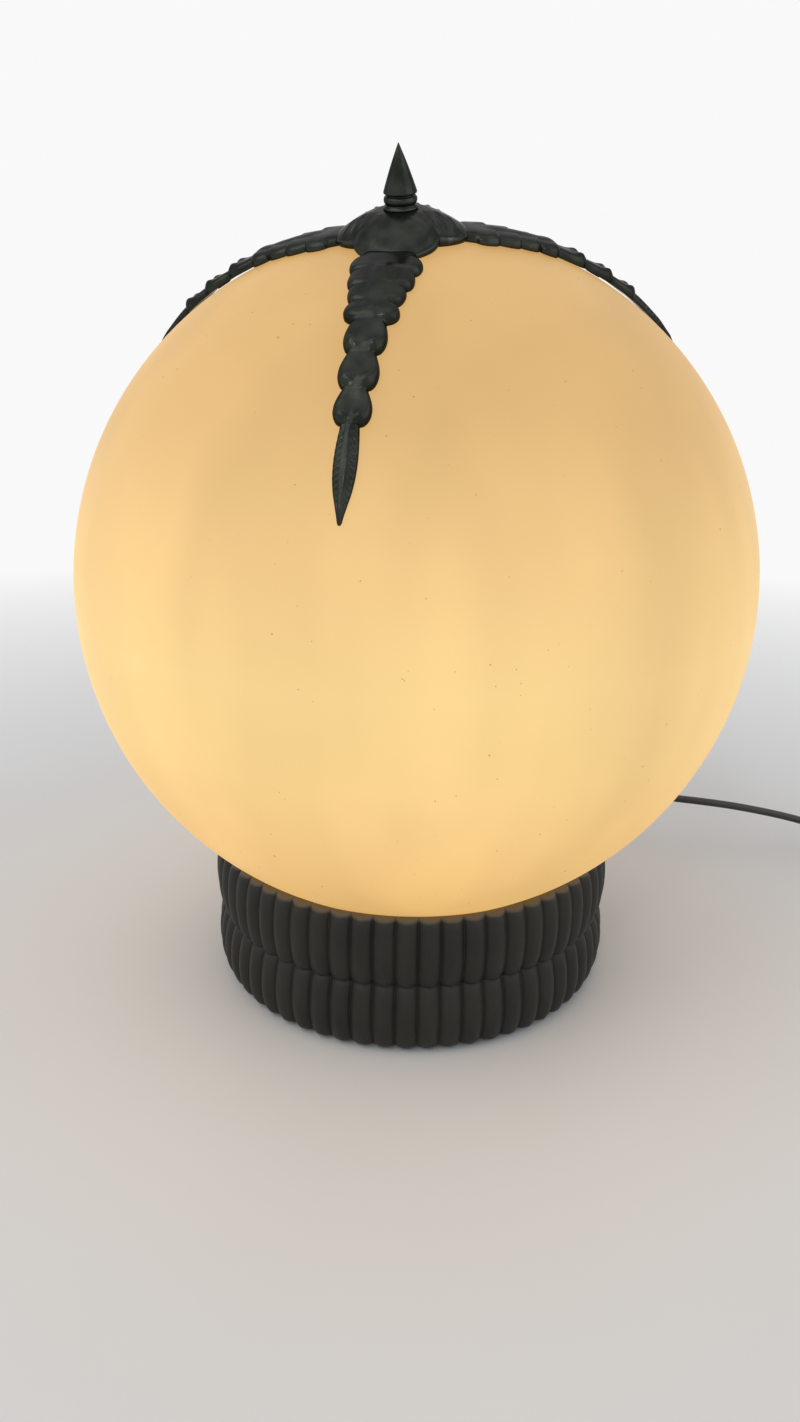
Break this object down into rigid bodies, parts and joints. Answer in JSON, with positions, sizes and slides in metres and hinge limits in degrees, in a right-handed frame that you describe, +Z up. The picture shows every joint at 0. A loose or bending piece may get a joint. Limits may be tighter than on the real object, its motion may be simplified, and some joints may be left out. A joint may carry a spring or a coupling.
{
  "type": "globe table lamp",
  "caption": "Table lamp with a lit opal glass globe in a fluted drum base, under a cast leaf-armed crown with a spire, on a switched mains lead.",
  "frame": {"origin": "centre of the underside of the felt pad, on the table", "axes": "+Z up along the lamp's axis, -Y towards the front arm's side, +X to the right where the lead runs"},
  "size_m": [0.571, 0.3558, 0.4236],
  "materials": {
    "base_iron": "dark charcoal, satin",
    "crown_metal": "dark green-black patina, half gloss",
    "opal_glass": "opal, lit from inside",
    "clear_glass": "clear",
    "filament_wire": "fine wire",
    "lamp_brass": "plain",
    "holder_plastic": "moulded",
    "porcelain": "glazed",
    "sheet_steel": "zinc plated",
    "screw_steel": "zinc plated",
    "felt": "pressed felt",
    "seat_rubber": "moulded",
    "gland_plastic": "moulded",
    "block_plastic": "moulded",
    "lead_sheath": "smooth sheath",
    "tie_plastic": "moulded",
    "live_sheath": "brown",
    "neutral_sheath": "blue",
    "switch_plastic": "moulded",
    "rocker_plastic": "moulded",
    "plug_plastic": "moulded"
  },
  "bodies": {
    "base": {"base_shell": "base_iron", "seat_cup": "base_iron", "foot_ring": "base_iron", "lampholder_thread_shell": "lamp_brass", "lampholder_centre_contact": "lamp_brass", "threaded_tube": "lamp_brass", "tube_lock_nuts": "lamp_brass", "terminal_screws": "lamp_brass", "plug_pins": "lamp_brass", "lampholder_cap": "holder_plastic", "lampholder_barrel": "holder_plastic", "lampholder_ring": "holder_plastic", "lampholder_insert": "porcelain", "floor_plate": "sheet_steel", "tube_washer": "sheet_steel", "floor_plate_screws": "screw_steel", "switch_screws": "screw_steel", "felt_pad": "felt", "globe_seat_ring": "seat_rubber", "lead_gland": "gland_plastic", "gland_nut": "gland_plastic", "strain_relief": "gland_plastic", "terminal_block": "block_plastic", "inner_lead": "lead_sheath", "lead_to_switch": "lead_sheath", "lead_to_coil": "lead_sheath", "lead_to_plug": "lead_sheath", "lead_coil": "lead_sheath", "lead_tie": "tie_plastic", "live_wire": "live_sheath", "neutral_wire": "neutral_sheath", "switch_lower_half": "switch_plastic", "switch_upper_half": "switch_plastic", "plug_body": "plug_plastic"},
    "bulb": {"bulb_contact": "lamp_brass", "bulb_screw_cap": "lamp_brass", "bulb_glass": "clear_glass", "bulb_stem": "clear_glass", "bulb_filament": "filament_wire"},
    "globe": {"globe": "opal_glass"},
    "crown": {"crown_hub": "crown_metal", "arm_front": "crown_metal", "arm_right": "crown_metal", "arm_left": "crown_metal", "arm_screws": "screw_steel", "arm_pads": "felt", "hub_pad": "felt", "finial_stud": "lamp_brass", "hub_nut": "lamp_brass"},
    "finial": {"finial": "crown_metal"},
    "switch_rocker": {"switch_rocker": "rocker_plastic"}
  },
  "joints": [
    {"name": "globe_lift", "type": "slide", "parent": "base", "child": "globe", "axis": [0, 0, 1], "range_m": [0, 0.16]},
    {"name": "crown_lift", "type": "slide", "parent": "globe", "child": "crown", "axis": [-0.0443, -0.342, 0.9386], "range_m": [0, 0.15]},
    {"name": "finial_turn", "type": "hinge", "parent": "crown", "child": "finial", "pos_m": [-0.00863, -0.06669, 0.40404], "axis": [-0.0443, -0.342, 0.9386], "continuous": true},
    {"name": "bulb_unscrew", "type": "slide", "parent": "base", "child": "bulb", "axis": [0, 0, 1], "range_m": [0, 0.028]},
    {"name": "switch_press", "type": "hinge", "parent": "base", "child": "switch_rocker", "pos_m": [0.38, 0.032, 0.012], "axis": [-1, 0, 0], "range_deg": [0, 16]}
  ]
}
